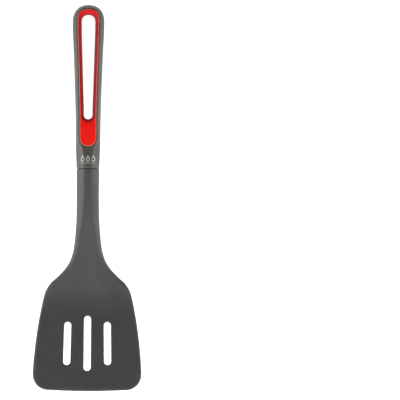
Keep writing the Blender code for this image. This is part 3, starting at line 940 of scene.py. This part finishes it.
def ink_line(bm, path, half_width):
    """A line of ink: a thin film along a path of (x, station) points on the grip's top face."""
    rings = []
    for i, point in enumerate(path):
        along = (path[min(i + 1, len(path) - 1)] - path[max(i - 1, 0)]).normalized()
        side = Vector((-along.y, along.x))
        taper = 1 - abs(2 * i / (len(path) - 1) - 1) ** INK_BLUNTNESS
        reach = half_width * max(taper, INK_TIP) ** 0.5
        corners = ((-reach, -INK_SUNK), (reach, -INK_SUNK), (reach, INK_PROUD), (-reach, INK_PROUD))
        ring = []
        for across, above in corners:
            spot = point + side * across
            ring.append(on_spine(spot.x, spot.y, grip_top(spot.x, spot.y) + above))
        rings.append(ring)
    add_bar(bm, rings)


def flame(middle):
    """The outline of a small flame, as a path that starts and ends at its tip."""
    path = []
    for i in range(FLAME_STEPS + 1):
        turn = 2 * math.pi * i / FLAME_STEPS
        x = FLAME_HALF_WIDTH * math.sin(turn) * math.sin(turn / 2) ** FLAME_POINTEDNESS
        rise = (1 + math.cos(turn)) / 2
        lean = FLAME_LEAN * math.sin(math.pi * rise) * rise
        path.append(Vector((middle + x + lean, FLAME_LOW + FLAME_HEIGHT * rise)))
    return path


def flame_print(finish):
    """A generic print of three small flames over a thin line."""
    bm = bmesh.new()
    for k in range(FLAME_COUNT):
        ink_line(bm, flame(FLAME_PITCH * (k - (FLAME_COUNT - 1) / 2)), FLAME_STROKE / 2)
    line = []
    for i in range(LINE_STEPS + 1):
        line.append(Vector((LINE_HALF_LENGTH * (2 * i / LINE_STEPS - 1), LINE_STATION)))
    ink_line(bm, line, LINE_STROKE / 2)
    return solid("flame_print", bm, finish)


def resting_transform(head, others):
    """Turns the turner until its heel and its grip's end are level, and stands it at z = 0."""
    head_points = [(v.co.y, v.co.z) for v in head.data.vertices]
    grip_points = [(v.co.y, v.co.z) for made in others for v in made.data.vertices]
    low, high = -MOST_TILT, MOST_TILT
    while high - low > TILT_ERROR:
        tilt = (low + high) / 2
        if lowest(head_points, tilt) > lowest(grip_points, tilt):
            low = tilt
        else:
            high = tilt
    everything = head_points + grip_points
    along = [y * math.cos(tilt) - z * math.sin(tilt) for y, z in everything]
    middle = (0, -(min(along) + max(along)) / 2, -lowest(everything, tilt))
    return Matrix.Translation(middle) @ Matrix.Rotation(tilt, 4, "X")


def softbox(name, place, size, power):
    """A rectangular area light that faces the turner."""
    light = bpy.data.lights.new(name, "AREA")
    light.shape = "RECTANGLE"
    light.size, light.size_y = size
    light.energy = power
    made = bpy.data.objects.new(name, light)
    made.location = place
    made.rotation_euler = (Vector(LIGHT_AIM) - Vector(place)).to_track_quat("-Z", "Y").to_euler()
    made.visible_camera = False
    bpy.context.collection.objects.link(made)


def surroundings():
    """A white studio, brighter overhead than round the sides."""
    world = bpy.data.worlds.new("studio")
    bpy.context.scene.world = world
    world.use_nodes = True
    nodes, links = world.node_tree.nodes, world.node_tree.links
    split = nodes.new("ShaderNodeSeparateXYZ")
    links.new(nodes.new("ShaderNodeTexCoord").outputs["Generated"], split.inputs["Vector"])
    level = nodes.new("ShaderNodeMapRange")
    level.inputs["From Min"].default_value, level.inputs["To Min"].default_value = STUDIO_SIDES
    level.inputs["From Max"].default_value, level.inputs["To Max"].default_value = STUDIO_OVERHEAD
    links.new(split.outputs["Z"], level.inputs["Value"])
    background = nodes["Background"]
    background.inputs["Color"].default_value = (1, 1, 1, 1)
    links.new(level.outputs["Result"], background.inputs["Strength"])


def ground(finish):
    """A plain pale floor under the turner."""
    bm = bmesh.new()
    bmesh.ops.create_grid(bm, x_segments=FLOOR_CELLS, y_segments=FLOOR_CELLS, size=FLOOR_SIZE / 2)
    floor = solid("ground", bm, finish)


def camera(box):
    """A long lens straight above, with the turner on the left of a square frame."""
    low, high = box
    data = bpy.data.cameras.new("camera")
    data.sensor_width = SENSOR_WIDTH
    data.lens = SENSOR_WIDTH * CAMERA_HEIGHT / FRAME_WIDTH
    data.clip_end = 4 * CAMERA_HEIGHT
    made = bpy.data.objects.new("camera", data)
    middle = (low + high) / 2
    made.location = (middle.x + FRAME_TO_RIGHT, middle.y + FRAME_UP, CAMERA_HEIGHT)
    made.rotation_euler = (0, 0, CAMERA_ROLL)
    bpy.context.collection.objects.link(made)
    bpy.context.scene.camera = made


def main():
    head = head_moulding(nylon())
    grip = grip_moulding(polypropylene())
    liner = liner_moulding(rubber(), rubber_bead_highlight())
    mark = flame_print(ink())
    at_rest = resting_transform(head, (grip, liner))
    for piece, node, slot in (
        (head, "turner_head", "head_nylon"),
        (grip, "handle_body", "grip_grey"),
        (liner, "grip_liner", "liner_red"),
        (mark, None, "mark_ink"),
    ):
        piece.data.transform(at_rest)
        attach(piece, "root")
        if node:
            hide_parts(node)
    ground(light_table())
    surroundings()
    for light in LIGHTS:
        softbox(*light)
    camera(cad_box)
    bpy.context.scene.view_settings.view_transform = "Standard"


main()
